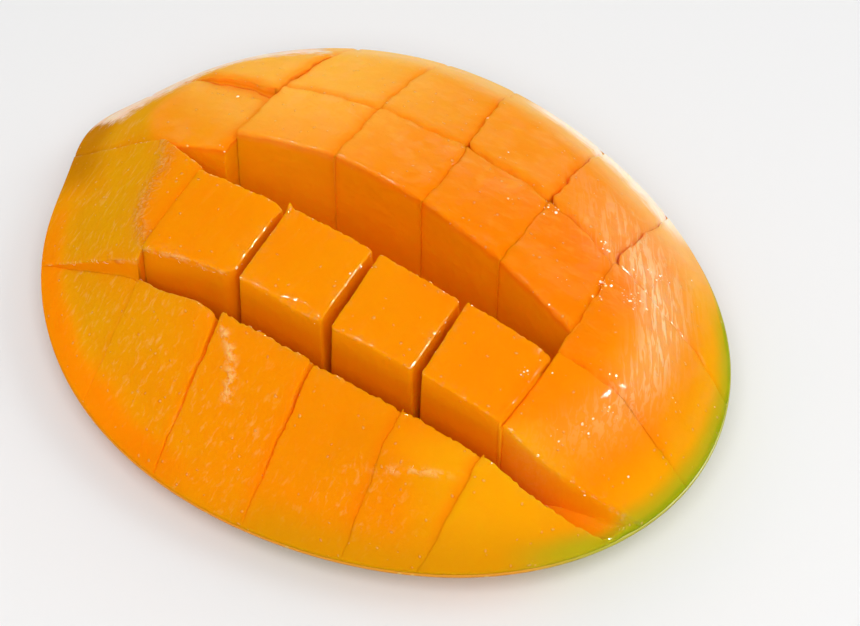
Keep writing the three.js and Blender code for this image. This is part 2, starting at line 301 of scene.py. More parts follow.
raggedEdges = {(3, "far"): 0.2, (2, "far"): 0.16, (2, "near"): 0.1, (1, "near"): 0.06,
               (1, "far"): 0.1, (0, "near"): 0.1}
raggedCrossCuts = {(3, 2, "right"): 0.16, (3, 1, "right"): 0.07, (3, 3, "left"): 0.08}
facets = {"step": 0.55, "rowLengths": (22, 14, 16, 21), "besideCut": (0, 0.06, 0.14, 0.26, 0.45, 0.72),
          "besideRim": (0, 0.12, 0.3, 0.6, 1), "floorSteps": (2, 8, 4), "rings": 6, "sharpest": 0.8,
          "depths": (0.008, 0.025, 0.06, 0.13, 0.25, 0.42, 0.62, 0.82, 1.0)}


def smooth(value, low, high):
    along = np.clip((value - low) / (high - low), 0, 1)
    return along * along * (3 - 2 * along)


def hump(angle, middle, spread):
    away = ((np.degrees(angle) - middle + 540) % 360 - 180) / spread
    return np.exp(-away * away)


def humps(angle, extras):
    return sum(extra * hump(angle, at, spread) for extra, at, spread in extras)


def roundedLower(a, b, rounding):
    return 0.5 * (a + b - np.hypot(a - b, rounding))


def rimRadius(angle):
    oval = 1 / np.hypot(np.cos(angle) / rim["halfLength"], np.sin(angle) / rim["halfWidth"])
    bent = oval * (1 + rim["squareness"] * np.cos(2 * angle + 0.8) + rim["egg"] * np.cos(3 * angle + 0.1))
    return bent + rim["cornerReach"] * hump(angle, rim["cornerAt"], rim["cornerSpread"])


def fleshRadius(angle):
    # the flesh stops just inside the peel's edge, a little more so at the green end
    return rimRadius(angle) - bowl["edge"] - humps(angle, [bowl["greenEdge"]])


def rimGap(x, y):
    return fleshRadius(np.arctan2(y, x)) - np.hypot(x, y)


def rimHeight(angle):
    return rim["height"] + rim["lean"] * np.sin(angle)


def skinHeight(part, angle):
    # part runs from 0 in the middle to 1 on the rim
    rise = np.maximum(0, (part - bowl["restSpot"]) / (1 - bowl["restSpot"]))
    return rimHeight(angle) * rise ** bowl["power"]


def sideHeight(row, x, y):
    # the slope that the cut face falls away on, all round the rim
    angle = np.arctan2(y, x)
    slope = sides["slope"] + humps(angle, sides["extras"] + ([sides["raised"]] if row == 2 else []))
    return rimHeight(angle) + rim["lip"] + slope * (rimRadius(angle) - np.hypot(x, y))


def floorHeight(x, y):
    # bottom of the cuts
    angle = np.arctan2(y, x)
    skin = skinHeight(np.hypot(x, y) / rimRadius(angle), angle) + bowl["skin"]
    share = bowl["uncutShare"] * (sideHeight(1, x, y) - skin)
    return skin + np.minimum(bowl["uncutFlesh"] - bowl["skin"], share)


def cutReach(x, y):
    # how deep a cut still goes near the rim: 1 is full depth
    end = hump(np.arctan2(y, x), nearCut["openEndAt"], nearCut["openEndSpread"])
    fadeTo = thinCut["fadeTo"] + (nearCut["openEndFade"] - thinCut["fadeTo"]) * end
    return smooth(rimGap(x, y), thinCut["fadeFrom"], fadeTo)


def droop(x):
    beyond = np.maximum(0, np.abs(x - rowShape["droopMiddle"]) - rowShape["droopFrom"])
    return rowShape["droop"] * beyond ** 2


def ragged(along, seed):
    # uneven teeth that a small knife leaves, about -1 to 1
    jitter = 0.35 * np.sin(along * 1.9 + seed * 2.3) + 0.25 * np.sin(along * 0.83 + seed)
    teeth = np.abs(np.sin(np.pi * (along + jitter) / cutEdge["tooth"]))
    drift = np.sin(along * 0.9 + seed * 1.7) + 0.7 * np.sin(along * 2.7 + seed * 4.1)
    return teeth - 0.6 + 0.35 * drift


def cutLine(cut, x, column):
    # a bow across the middle blocks and a straight end through the first and last block
    if column in (0, 5):
        start, y, slope = cut["leftEnd" if column == 0 else "rightEnd"]
        return y + slope * (x - start)
    return straightened(lambda place: cutBow(cut, place), x, column)


def cutBow(cut, x):
    return cut["y"] - cut["bow"] * np.abs(x - cut["middle"]) ** cut["power"]


def straightened(curve, x, column):
    # each block keeps nearly straight edges, so the row bends at the cross cuts
    left, right = crossCuts["x"][column - 1], crossCuts["x"][column]
    part = (x - left) / (right - left)
    chord = curve(left) * (1 - part) + curve(right) * part
    return curve(x) + (chord - curve(x)) * crossCuts["straightness"]


def openingWidth(x, column):
    if column == 5:
        return 0 * x
    if column == 0:
        beyond = (x - wideCut["leftEnd"][0]) / opening["leftEndReach"]
        return opening["leftEnd"] * np.clip(1 + beyond, 0, 1)
    return straightened(openingBow, x, column)


def openingBow(x):
    left = np.clip((opening["peak"] - x) / (opening["peak"] - opening["left"]), 0, 1)
    right = np.clip((x - opening["peak"]) / (opening["right"] - opening["peak"]), 0, 1)
    return opening["width"] * (1 - left ** 4 - right ** 2)


def nearBend(x):
    along = np.maximum(0, x - nearCut["bendFrom"]) / (nearCut["bendTo"] - nearCut["bendFrom"])
    return nearCut["bendReach"] * along ** 1.5


def plainEdge(row, side, x, depth, column):
    thin = (thinCut["width"] + (thinCut["bottom"] - thinCut["width"]) * depth) / 2
    wide = np.maximum(thin, openingWidth(x, column) / 2 * (1 + (opening["bottom"] - 1) * depth))
    tuck = nearCut["narrowing"] * depth
    waves = wander["farCut"] * (np.sin(x * 0.52 + 1) + 0.6 * np.sin(x * 1.45))
    if (row, side) == (0, "near"):
        return cutLine(farCut, x, column) + waves + thin
    if (row, side) == (1, "far"):
        return cutLine(farCut, x, column) + waves - thin
    if (row, side) == (1, "near"):
        return cutLine(wideCut, x, column) + wide
    if (row, side) == (2, "far"):
        return cutLine(wideCut, x, column) - wide
    if (row, side) == (2, "near") and column == 0:
        return nearCut["leftEnd"] + 2 * thin + 0 * x
    if (row, side) == (2, "near"):
        turn = nearCut["leftTurn"] * (1 - smooth(x, *nearCut["turnOver"]))
        return nearCut["farEdge"] - turn + nearBend(x) - tuck
    widened = smooth(x, *nearCut["widenOver"])
    edge = nearCut["leftEnd"] + (nearCut["nearEdge"] - nearCut["leftEnd"]) * widened
    return edge + nearBend(x) + tuck * smooth(x, *nearCut["tuckOver"])


def longEdge(row, side, x, depth, column):
    # y of a row's near or far edge, at a depth from 0, its top, to 1, the foot of the cut
    amount = raggedEdges[row, side] * calmBlocks.get((row, column), 1) * (1 - depth) ** 3
    seed = row + (1 if side == "near" else 0)
    return plainEdge(row, side, x, depth, column) + amount * ragged(x, seed)


def crossWidth(row, cut, y):
    if row == 0:
        return thinCut["width"] + crossCuts["far"][cut] * np.exp(-np.maximum(0, y - 18) / 5)
    if row == 1:
        return thinCut["width"] + 0 * y
    if row == 2:
        return thinCut["width"] + crossCuts["third"][cut] * (1 + (y + 12) * -0.02)
    return thinCut["width"] + crossCuts["near"][cut] * np.clip(1 + (y + 24.5) / 20, 0.3, 1)


def crossEdge(row, cut, side, y, depth):
    # x of the left or right wall of a cross cut
    width = crossWidth(row, cut, y) * (1 + (crossCuts["bottom"] - 1) * depth)
    amount = raggedCrossCuts.get((row, cut, side), 0.04) * (1 - depth) ** 3
    line = crossCuts["x"][cut] + crossCuts["skew"][cut] * y - crossCuts["bow"][cut] * (y + 10) ** 2
    line = line - crossCuts["farLean"][cut] * np.maximum(0, y - 19) + amount * ragged(y, 5 * cut + row)
    line = line + wander["rows"][row] * (np.sin(y * 0.85 + cut * 1.7) + 0.5 * np.sin(y * 2.1 + cut))
    return line + width / 2 * (1 if side == "right" else -1)


def rowHeight(row, x, y):
    height, alongY, alongX = rowShape["third" if row == 2 else "second"]
    if row in (1, 2):
        return height + alongY * y + alongX * x - droop(x)
    if row == 0:
        line = cutBow(farCut, x)
        return height + alongY * line + alongX * x - droop(x) - rowShape["farFall"] * (y - line)
    turned = smooth(x, *rowShape["turns"])
    fall = rowShape["nearLeftFall"] * (1 - turned) + rowShape["nearRightFall"] * turned
    return rowShape["near"] + fall * (y - plainEdge(3, "far", x, 0, 1)) - droop(x)


def creaseRounding(angle):
    return sides["rounding"] + humps(angle, sides["softer"])


def topHeight(row, column, x, y):
    tilt = blockTilts[row, column]
    middle = crossCuts["x"][min(4, column)]
    scored = rowHeight(row, x, y) + blockLifts[row][column] + tilt[0] * (x - middle) + tilt[1] * y * 0.3
    joined = roundedLower(scored, sideHeight(row, x, y), creaseRounding(np.arctan2(y, x)))
    return joined + slopeLifts.get((row, column), 0) * smooth(rimGap(x, y), 0.5, 7)


# each block's plan is filled in between four edges: along cuts, or along the rim

search = {"cutTurns": 12, "rimTurns": 40, "across": 70, "alongFrom": 36, "alongTo": 75}


def meetCuts(row, column, side, cut, wall, depth):
    x = crossCuts["x"][cut]
    for _ in range(search["cutTurns"]):
        y = longEdge(row, side, x, depth, column)
        x = crossEdge(row, cut, wall, y, depth)
    return np.array([x, y])


def meetRim(pointAt, inside, outside):
    # halve the way until the point lies on the rim
    for _ in range(search["rimTurns"]):
        middle = (inside + outside) / 2
        if rimGap(*pointAt(middle)) > 0:
            inside = middle
        else:
            outside = middle
    return np.array(pointAt(inside))


def rimArc(start, end, parts):
    first = math.atan2(start[1], start[0])
    last = math.atan2(end[1], end[0])
    turn = (last - first + math.pi) % (2 * math.pi) - math.pi
    angles = first + turn * parts
    radius = fleshRadius(angles)
    return np.stack([radius * np.cos(angles), radius * np.sin(angles)], -1)


def blockCorners(row, column, depth):
    corners = {}
    for side, isRim in (("near", row == 3), ("far", row == 0)):
        for wall, cut, edge in (("left", column - 1, "right"), ("right", column, "left")):
            hasCut = 0 <= cut < 5
            outward = -1 if wall == "left" else 1
            if hasCut and not isRim:
                corners[side, wall] = meetCuts(row, column, side, cut, edge, depth)
            elif hasCut:
                corners[side, wall] = meetRim(lambda y: (crossEdge(row, cut, edge, y, depth), y),
                                              0, search["across"] * (1 if side == "far" else -1))
            elif not isRim:
                corners[side, wall] = meetRim(lambda x: (x, longEdge(row, side, x, depth, column)),
                                              outward * search["alongFrom"], outward * search["alongTo"])
    if row in (0, 3) and column in (0, 5):
        outer = ("far" if row == 0 else "near", "left" if column == 0 else "right")
        inner = ("near" if row == 0 else "far", "right" if column == 0 else "left")
        ends = corners[inner[0], outer[1]], corners[outer[0], inner[1]]
        corners[outer] = rimArc(*ends, np.array([0.5]))[0]
    return corners


def bendCorner(first, second, radius):
    # two edges leave one corner: both are eased onto the arc that rounds it
    shifts = []
    for edge, other in ((first, second), (second, first)):
        away = edge[7] - edge[0]
        inward = other[7] - other[0]
        away, inward = away / np.hypot(*away), inward / np.hypot(*inward)
        distance = np.hypot(*(edge - edge[0]).T)
        turn = np.pi / 4 * np.clip(1 - distance / radius, 0, 1)
        slide = np.where(turn > 0, radius - radius * np.sin(turn) - distance, 0)
        shifts.append(slide[:, None] * away + (radius - radius * np.cos(turn))[:, None] * inward)
    first += shifts[0]
    second += shifts[1]


def blockEdges(row, column, along, across, depth):
    corners = blockCorners(row, column, depth)
    edges = {}
    for side, isRim in (("near", row == 3), ("far", row == 0)):
        start, end = corners[side, "left"], corners[side, "right"]
        if isRim:
            edges[side] = rimArc(start, end, along)
        else:
            x = start[0] + (end[0] - start[0]) * along
            edges[side] = np.stack([x, longEdge(row, side, x, depth, column)], -1)
            edges[side][0], edges[side][-1] = start, end
    for wall, isRim, cut, edge in (("left", column == 0, column - 1, "right"),
                                   ("right", column == 5, column, "left")):
        start, end = corners["near", wall], corners["far", wall]
        if isRim:
            edges[wall] = rimArc(start, end, across)
        else:
            y = start[1] + (end[1] - start[1]) * across
            edges[wall] = np.stack([crossEdge(row, cut, edge, y, depth), y], -1)
            edges[wall][0], edges[wall][-1] = start, end
    for side in ("near", "far"):
        for wall in ("left", "right"):
            if hasCutSide(row, column, side) and hasCutSide(row, column, wall):
                radius = cutEdge["roundest"].get((row, column, side, wall), cutEdge["corners"][side][row])
                long = edges[side] if wall == "left" else edges[side][::-1]
                cross = edges[wall] if side == "near" else edges[wall][::-1]
                bendCorner(long, cross, radius)
    return edges


def hasCutSide(row, column, side):
    return {"near": row < 3, "far": row > 0, "left": column > 0, "right": column < 5}[side]


def fillBetween(edges, along, across):
    s, t = along[:, None, None], across[None, :, None]
    near, far = edges["near"][:, None], edges["far"][:, None]
    left, right = edges["left"][None], edges["right"][None]
    corners = ((1 - s) * (1 - t) * near[:1] + s * (1 - t) * near[-1:]
               + (1 - s) * t * far[:1] + s * t * far[-1:])
    return (1 - t) * near + t * far + (1 - s) * left + s * right - corners


def stations(length, cutAtStart, cutAtEnd):
    # places from 0 to 1 along an edge, close together beside a cut or the rim
    start = np.array(facets["besideCut" if cutAtStart else "besideRim"])
    end = np.array(facets["besideCut" if cutAtEnd else "besideRim"])
    inner = length - start[-1] - end[-1]
    count = round(inner / facets["step"])
    middle = start[-1] + inner * np.arange(1, count) / count
    return np.concatenate([start, middle, length - end[::-1]]) / length


def edgeDrop(distance, radius, share=1):
    # a full share is a quarter round, a small one the soft side of a closed crease
    inside = np.clip(1 - distance / radius, 0, 1)
    quarterRound = 1 - np.sqrt(1 - inside ** 2)
    sharpness = np.clip((share - touching["soft"]) / (1 - touching["soft"]), 0, 1)
    return share * radius * (inside ** 2 + (quarterRound - inside ** 2) * sharpness)


fields = ("x", "y", "z", "row", "column", "wall", "edge", "below", "seam")
noBlock = (9, 9)  # row and column of points that belong to no block
deepBelow = 20  # well below any top
farAway = 99  # from a side that has no cut


class FleshMesh:
    # points, with the block they belong to and what lies there, and the faces between them
    def __init__(self):
        self.parts = []
        self.faces = []
        self.count = 0

    def add(self, points, block=noBlock, wall=1.0, edge=0.0, below=0.0, seam=0.0):
        points = np.asarray(points, float).reshape(-1, 3)
        rest = [np.ravel(value) * np.ones(len(points)) for value in (*block, wall, edge, below, seam)]
        self.parts.append(np.column_stack([points, *rest]))
        self.count += len(points)
        return np.arange(self.count - len(points), self.count)

    def table(self):
        if len(self.parts) > 1:
            self.parts = [np.concatenate(self.parts)]
        return self.parts[0]

    def points(self, numbers=slice(None)):
        return self.table()[numbers, :3]

    def sheet(self, index, flip=False):
        a, b, c, d = index[:-1, :-1], index[1:, :-1], index[1:, 1:], index[:-1, 1:]
        corners = [a, d, c, b] if flip else [a, b, c, d]
        self.faces.append(np.stack(corners, -1).reshape(-1, 4))


# the line of the block's grid that runs along each side
sideLines = {"near": (slice(None), 0), "far": (slice(None), -1), "left": (0, slice(None)),
             "right": (-1, slice(None))}
# the two walls that meet at each corner, and the end of each that lies there
wallCorners = (("near", "left", 0, 0), ("near", "right", -1, 0),
               ("far", "left", 0, -1), ("far", "right", -1, -1))


def slitWidth(row, column, side, x, y):
    # where this is next to nothing the two faces touch again just under the surface
    if side == "near":
        return plainEdge(row, "near", x, 0, column) - plainEdge(row + 1, "far", x, 0, column)
    if side == "far":
        return plainEdge(row - 1, "near", x, 0, column) - plainEdge(row, "far", x, 0, column)
    return crossWidth(row, column - 1 if side == "left" else column, y)


def standsOut(row, column, side, x, y):
    # 1 where a cross cut's wall runs past the end of the block beside it, and a little way in
    shown = 0 * x
    if side in ("near", "far"):
        return shown
    beside = column - 1 if side == "left" else column + 1
    for end, inward in (("near", 1), ("far", -1)):
        if hasCutSide(row, column, end):
            mine, theirs = (plainEdge(row, end, x, 0, block) for block in (column, beside))
            step = np.abs(theirs - mine)
            within = inward * (y - mine) < touching["stepReach"] * step
            shown = np.where((step > touching["step"]) & within, 1, shown)
    return shown


def overBlock(side, values):
    # one side's values, ready to spread over the block's grid
    return np.expand_dims(values, 1 if side in ("near", "far") else 0)


def measureSides(row, column, plan):
    # how far each point lies from each side, and how wide and how open, 0 to 1, each cut side is
    gaps, widths, opened = {}, {}, {}
    for side, line in sideLines.items():
        gaps[side] = np.hypot(*(plan - overBlock(side, plan[line])).transpose(2, 0, 1))
        if hasCutSide(row, column, side):
            widths[side] = slitWidth(row, column, side, *plan[line].T)
            opened[side] = smooth(widths[side], touching["touched"], touching["sharp"])
        else:
            gaps[side] = gaps[side] * 0 + farAway
    return gaps, widths, opened


def shapeTop(row, column, plan, gaps, opened):
    # the height of a block's top, how wet it is near its edges, and how near it is to a closed crease,
    # where painted shade goes
    x, y = plan[..., 0], plan[..., 1]
    z = topHeight(row, column, x, y)
    radius = cutEdge["softer"].get((row, column), cutEdge["radius"][row])
    radius = radius * (1 + 0.3 * np.sin(x * 1.3 + row) * np.sin(y * 1.7 + column))
    soft = touching["puffed"].get((row, column), touching["soft"])
    drops, wets, creaseShades = [], [], []
    for side, share in opened.items():
        share = overBlock(side, share)
        reach = radius * (1 + (touching["roll"][side] - 1) * (1 - share))
        drops.append(edgeDrop(gaps[side], reach, soft + (1 - soft) * share))
        wets.append((0.15 + 0.85 * share) * np.exp(-gaps[side] / cutEdge["wetWidth"]))
        creaseShades.append((1 - share) * np.exp(-(gaps[side] / touching["creaseShadeReach"][side]) ** 2))
    z -= np.maximum.reduce(drops)
    z -= edgeDrop(rimGap(x, y), cutEdge["rim"])
    roll = cutEdge["rolls"].get((row, column), cutEdge["roll"])
    z -= roll * np.exp(-(gaps["far"] ** 2 + gaps["right"] ** 2) / cutEdge["rollSpread"] ** 2)
    thorn = cutEdge["thorns"].get((row, column), 0)
    z += thorn * np.exp(-(gaps["far"] ** 2 + gaps["left"] ** 2) / cutEdge["thornWidth"] ** 2)
    return z, cutEdge["wet"][row] * np.maximum.reduce(wets), touching["seam"] * np.maximum.reduce(creaseShades)


def openCorners(row, column, plan, widths):
    # at a corner both cuts are as wide as the wider one; in the farthest row round corners dip
    notches = {side: 0 for side in widths}
    for long, cross, end, start in wallCorners:
        if long in widths and cross in widths:
            widths[long][end] = max(widths[long][end], widths[cross][start])
        reach = cutEdge["roundest"].get((row, column, long, cross), 0)
        if reach > 1 and row == 0:
            corner = plan[sideLines[long]][end]
            for side in (long, cross):
                away = np.hypot(*(plan[sideLines[side]] - corner).T)
                notches[side] = notches[side] + touching["notch"] * reach * np.exp(-(away / reach) ** 2)
    return notches


def buildBlock(flesh, row, column):
    columnLengths = np.diff([-rim["halfLength"], *crossCuts["x"], rim["halfLength"]])
    along = stations(columnLengths[column], column > 0, column < 5)
    across = stations(facets["rowLengths"][row], row < 3, row > 0)
    plan = fillBetween(blockEdges(row, column, along, across, 0), along, across)
    gaps, widths, opened = measureSides(row, column, plan)
    z, wetEdge, seam = shapeTop(row, column, plan, gaps, opened)
    top = flesh.add(np.dstack([plan, z]), (row, column), 0, wetEdge, 0, seam).reshape(z.shape)
    flesh.sheet(top)
    levels = {side: [top[sideLines[side]]] for side in widths}
    notches = openCorners(row, column, plan, widths)
    for depth in facets["depths"]:
        edges = blockEdges(row, column, along, across, depth)
        made = {}
        for side in levels:
            outline, start = edges[side], z[sideLines[side]]
            full = (start - floorHeight(*outline.T)) * cutReach(*outline.T)
            openness = smooth(widths[side], touching["closed"], touching["open"])
            openness = np.maximum(openness, standsOut(row, column, side, *plan[sideLines[side]].T))
            shallow = touching["depth"] + touching["growth"] * widths[side] ** 2 + notches[side]
            height = start - np.minimum(full, shallow + (full - shallow) * openness) * depth
            below = start - height
            wetWall = cutEdge["wet"][row] * opened[side] ** 2 * np.exp(-below / cutEdge["wetDepth"])
            made[side] = flesh.add(
                np.column_stack([outline, height]), (row, column),
                np.clip(below / cutEdge["wallDepth"], 0, 1), wetWall, below,
                touching["seam"] * (1 - opened[side]))
        for long, cross, end, start in wallCorners:
            if long in made and cross in made:
                made[cross][start] = made[long][end]
        for side in levels:
            levels[side].append(made[side])
    for side in levels:
        flesh.sheet(np.array(levels[side]), flip=side in ("far", "left"))
    return {"top": top, "levels": levels}


def floorStrip(flesh, first, second, steps):
    # the bottom of a cut, between the feet of its two walls
    a, b = flesh.points(first), flesh.points(second)
    lines = [first]
    for step in range(1, steps):
        part = step / steps
        middle = a + (b - a) * part
        width = np.hypot(*(b - a)[:, :2].T)
        middle[:, 2] -= np.minimum(0.5, width * 0.2) * math.sin(math.pi * part)
        lines.append(flesh.add(middle, below=deepBelow))
    return np.array(lines + [second])


def buildFlesh():
    flesh = FleshMesh()
    blocks = {(row, column): buildBlock(flesh, row, column) for row in range(4) for column in range(6)}
    feet = {key: {side: levels[-1] for side, levels in block["levels"].items()}
            for key, block in blocks.items()}
    longStrips, crossStrips = {}, {}
    for row in range(3):
        for column in range(6):
            ends = feet[row, column]["near"], feet[row + 1, column]["far"]
            longStrips[row, column] = floorStrip(flesh, *ends, facets["floorSteps"][row])
            flesh.sheet(longStrips[row, column])
    for row in range(4):
        for column in range(5):
            ends = feet[row, column]["right"], feet[row, column + 1]["left"]
            crossStrips[row, column] = floorStrip(flesh, *ends, 2)
            flesh.sheet(crossStrips[row, column])
    for row in range(3):
        for column in range(5):
            leftEnd = longStrips[row, column][:, -1]
            rightEnd = longStrips[row, column + 1][:, 0]
            middle = (flesh.points(leftEnd[1:-1]) + flesh.points(rightEnd[1:-1])) / 2
            middle = flesh.add(middle, below=deepBelow)
            farEnd, nearEnd = crossStrips[row, column][1, 0], crossStrips[row + 1, column][1, -1]
            flesh.sheet(np.array([leftEnd, [farEnd, *middle, nearEnd], rightEnd]), flip=True)
    closeBelow(flesh, rimLoop(blocks, longStrips, crossStrips))
    return flesh


def rimLoop(blocks, longStrips, crossStrips):
    # point numbers once round the rim, counterclockwise from the near left
    loop = []

    def down(row, column, side, end):
        return [level[end] for level in blocks[row, column]["levels"][side]]

    for column in range(6):
        loop += list(blocks[3, column]["top"][:, 0])
        if column < 5:
            loop += down(3, column, "right", 0) + list(crossStrips[3, column][:, 0])
            loop += down(3, column + 1, "left", 0)[::-1]
    for row in (3, 2, 1, 0):
        loop += list(blocks[row, 5]["top"][-1, :])
        if row > 0:
            loop += down(row, 5, "far", -1) + list(longStrips[row - 1, 5][::-1, -1])
            loop += down(row - 1, 5, "near", -1)[::-1]
    for column in range(5, -1, -1):
        loop += list(blocks[0, column]["top"][::-1, -1])
        if column > 0:
            loop += down(0, column, "left", -1) + list(crossStrips[0, column - 1][::-1, -1])
            loop += down(0, column - 1, "right", -1)[::-1]
    for row in range(4):
        loop += list(blocks[row, 0]["top"][0, ::-1])
        if row < 3:
            loop += down(row, 0, "near", 0) + list(longStrips[row, 0][:, 0])
            loop += down(row + 1, 0, "far", 0)[::-1]
    loop = [number for i, number in enumerate(loop) if number != loop[i - 1]]
    return np.array(loop)


def closeBelow(flesh, loop):
    # rings from the rim in to the middle, reaching just into the peel
    around = flesh.points(loop)
    angle = np.unwrap(np.arctan2(around[:, 1], around[:, 0]))
    angle = np.round(np.minimum(np.maximum.accumulate(angle), angle[0] + 2 * np.pi), 5)
    lines = [loop]
    for ring in range(facets["rings"]):
        part = (1 - ring / facets["rings"]) ** bowl["ringPower"]
        radius = part * (fleshRadius(angle) - bowl["inset"])
        height = skinHeight(radius / rimRadius(angle), angle) + bowl["skin"] - bowl["overlap"]
        lines.append(flesh.add(np.stack([radius * np.cos(angle), radius * np.sin(angle), height], -1)))
    lines = np.array(lines)
    flesh.sheet(np.concatenate([lines, lines[:, :1]], 1))
    centre = flesh.add([[0, 0, bowl["skin"] - bowl["overlap"]]])[0]
    inner = lines[-1]
    flesh.faces.append(np.stack([inner, inner * 0 + centre, np.roll(inner, -1), np.roll(inner, -1)], -1))


# torn edges, as share, row, columns, side and width, then two torn strips and a band on the right slope
# that carries painted sheen
frayMarks = {"edges": [(0.9, 2, (0, 1), "near", 0.14), (0.8, 2, (0,), "far", 0.16),
                       (0.6, 3, (1, 2), "far", 0.14)],
             "streak": {"x": -10.3, "y": -25.9, "reach": 6.4, "turn": 3.4, "width": 0.8,
                        "start": (25.4, 26.2), "end": (32.5, 34.5)},
             "smear": {"x": 26.2, "y": -30.6, "slope": 0.33, "half": 5, "width": 0.32, "share": 0.7},
             "band": {"gap": 11.5, "width": 2.7, "at": 17, "spread": 25, "wider": 3.5, "widerAt": 36,
                      "widerSpread": 16}}


# how wide the line is where a block's top turns into the rim's slope, and where the far rows begin
turnMarks = {"blend": 0.8, "crease": 0.5, "foldAt": 0.3, "fold": 0.85, "farOver": (6, 22)}


def surfaceMarks(at):
    # what the finish needs to know at each point: all run from 0 to 1 but the gap, in millimetres
    x, y = at["x"], at["y"]
    angle, gap = np.arctan2(y, x), rimGap(x, y)
    outer, crease, fold = (np.zeros(len(x)) for _ in range(3))
    for row in range(4):
        here = (at["row"] == row) & (at["wall"] < 1)
        columns = at["column"][here].astype(int)
        lift = np.array(blockLifts[row])[columns]
        over = rowHeight(row, x[here], y[here]) + lift - sideHeight(row, x[here], y[here])
        outer[here] = smooth(over, -turnMarks["blend"], turnMarks["blend"])
        crease[here] = np.exp(-(over / turnMarks["crease"]) ** 2)
        if row == 2:
            onFold = np.exp(-((over + turnMarks["foldAt"]) / turnMarks["fold"]) ** 2)
            fold[here] = np.where(columns == 0, onFold, 0)
    fray = np.maximum.reduce([share * edgeFray(at, *place) for share, *place in frayMarks["edges"]])
    nearest = at["row"] == 3
    streak, smear, band = frayMarks["streak"], frayMarks["smear"], frayMarks["band"]
    along = np.clip(streak["y"] - y, 0, 20)
    middle = streak["x"] + streak["reach"] * (1 - np.exp(-along / streak["turn"]))
    onStreak = np.exp(-((x - middle) / streak["width"]) ** 2) * nearest
    onStreak *= (1 - smooth(-y, *streak["end"])) * smooth(-y, *streak["start"])
    away = (y - smear["y"] - smear["slope"] * (x - smear["x"])) / smear["width"]
    onStreak += smear["share"] * np.exp(-away ** 2 - ((x - smear["x"]) / smear["half"]) ** 4) * nearest
    width = band["width"] + band["wider"] * hump(angle, band["widerAt"], band["widerSpread"])
    onBand = np.exp(-((gap - band["gap"]) / width) ** 2) * hump(angle, band["at"], band["spread"])
    return {"rimGap": gap, "wall": at["wall"], "edge": at["edge"], "outer": outer, "crease": crease,
            "fray": fray, "streak": onStreak, "band": onBand, "fold": fold, "seam": at["seam"],
            "farRow": smooth(y, *turnMarks["farOver"]) * (at["row"] < 2),
            "secondRow": (at["row"] == 1) * 1.0}


def edgeFray(at, row, columns, side, width):
    # 1 along the top edge of some blocks, falling off to both sides of it
    here = (at["row"] == row) & (at["below"] < 0.6)
    amount = np.zeros(len(here))
    for column in columns:
        mine = here & (at["column"] == column)
        away = at["y"][mine] - plainEdge(row, side, at["x"][mine], 0, column)
        amount[mine] = np.exp(-(away / width) ** 2)
    return amount


def meshFrom(name, points, faces, material, marks):
    mesh = bpy.data.meshes.new(name)
    clean = [tuple(dict.fromkeys(face)) for face in faces.tolist()]
    mesh.from_pydata((points * mm).tolist(), [], [face for face in clean if len(face) > 2])
    for title, values in marks.items():
        mesh.attributes.new(title, "FLOAT", "POINT").data.foreach_set("value", values.astype(np.float32))
    mesh.materials.append(material)
    work = bmesh.new()
    work.from_mesh(mesh)
    bmesh.ops.remove_doubles(work, verts=work.verts, dist=1e-9)
    bmesh.ops.dissolve_degenerate(work, edges=work.edges, dist=1e-9)
    bmesh.ops.recalc_face_normals(work, faces=work.faces)
    openEdges = sum(1 for edge in work.edges if len(edge.link_faces) != 2)
    for edge in work.edges:
        edge.smooth = edge.calc_face_angle(0) < facets["sharpest"]
    for face in work.faces:
        face.smooth = True
    work.to_mesh(mesh)
    work.free()
    print(name, "has", len(mesh.polygons), "faces and", openEdges, "open edges")
    return mesh


# flesh finish

# flesh colours, several of which paint light and shade: the crease colour, the darkest rim colour and
# part of the olive are painted shade; the wall colours are painted shade and light; the rose and peach
# tones, the pale band colour and the whitish rim colours are painted sheen and reflection, and the pale
# fibre colour is partly painted sheen; the glow colours are painted light
pulpColours = {
    "heart": (0.92, 0.258, 0.001), "amber": (0.90, 0.285, 0.001), "ember": (0.93, 0.185, 0.001),
    "olive": (0.84, 0.345, 0.003), "roseSheen": (0.97, 0.35, 0.035), "peachLight": (1.0, 0.47, 0.06),
    "honey": (0.88, 0.36, 0.002), "wall": (0.90, 0.245, 0.001), "litBackWall": (0.95, 0.315, 0.001),
    "litLeftWall": (0.97, 0.39, 0.001), "seam": (0.95, 0.21, 0.001), "fibreAndSheen": (0.99, 0.56, 0.20),
    "leftTipShade": (0.56, 0.185, 0.001), "blush": (0.97, 0.235, 0.001), "dusk": (0.70, 0.285, 0.002),
    "lime": (0.47, 0.37, 0.008), "green": (0.31, 0.34, 0.005), "bandSheen": (1.0, 0.62, 0.30),
    "rimSheen": (0.99, 0.80, 0.60), "leftRimSheen": (0.98, 0.70, 0.54), "dimRimSheen": (0.92, 0.55, 0.32),
    "none": (0, 0, 0), "edgeGlow": (0.11, 0.025, 0), "rimSheenGlow": (0.10, 0.07, 0.045)}
# along the rim: which way it faces in degrees, between what cosines it fades in, between what
# distances from the rim it fades out, how that line wavers, and how strong it is
# the darkest of these, at the far-left tip, is painted shade where little light falls
rimColours = [("leftTipShade", 181, (0.975, 0.999), (3, 10), "wide", 0.85),
              ("blush", -132, (0.76, 0.93), (1.8, 5.0), "wide", 0.9),
              ("dusk", -54, (0.78, 0.94), (0.2, 6.0), "wide", 0.9),
              ("honey", 8, (0.86, 0.95), (2.5, 7.0), "wide", 0.8),
              ("lime", -3, (0.82, 0.93), (0.5, 3.1), "fine", 1),
              ("green", 5, (0.86, 0.96), (0.15, 0.8), "fine", 1)]
rimWavers = {"wide": 2.4, "fine": 0.8}
pulpLook = {"scatter": 0.6, "reach": 0.0026, "colourReach": (1.0, 0.5, 0.1), "roughness": 0.45,
            "bump": 0.00028, "refraction": 1.38, "juiceRoughness": 0.06, "juiceRefraction": 1.7}


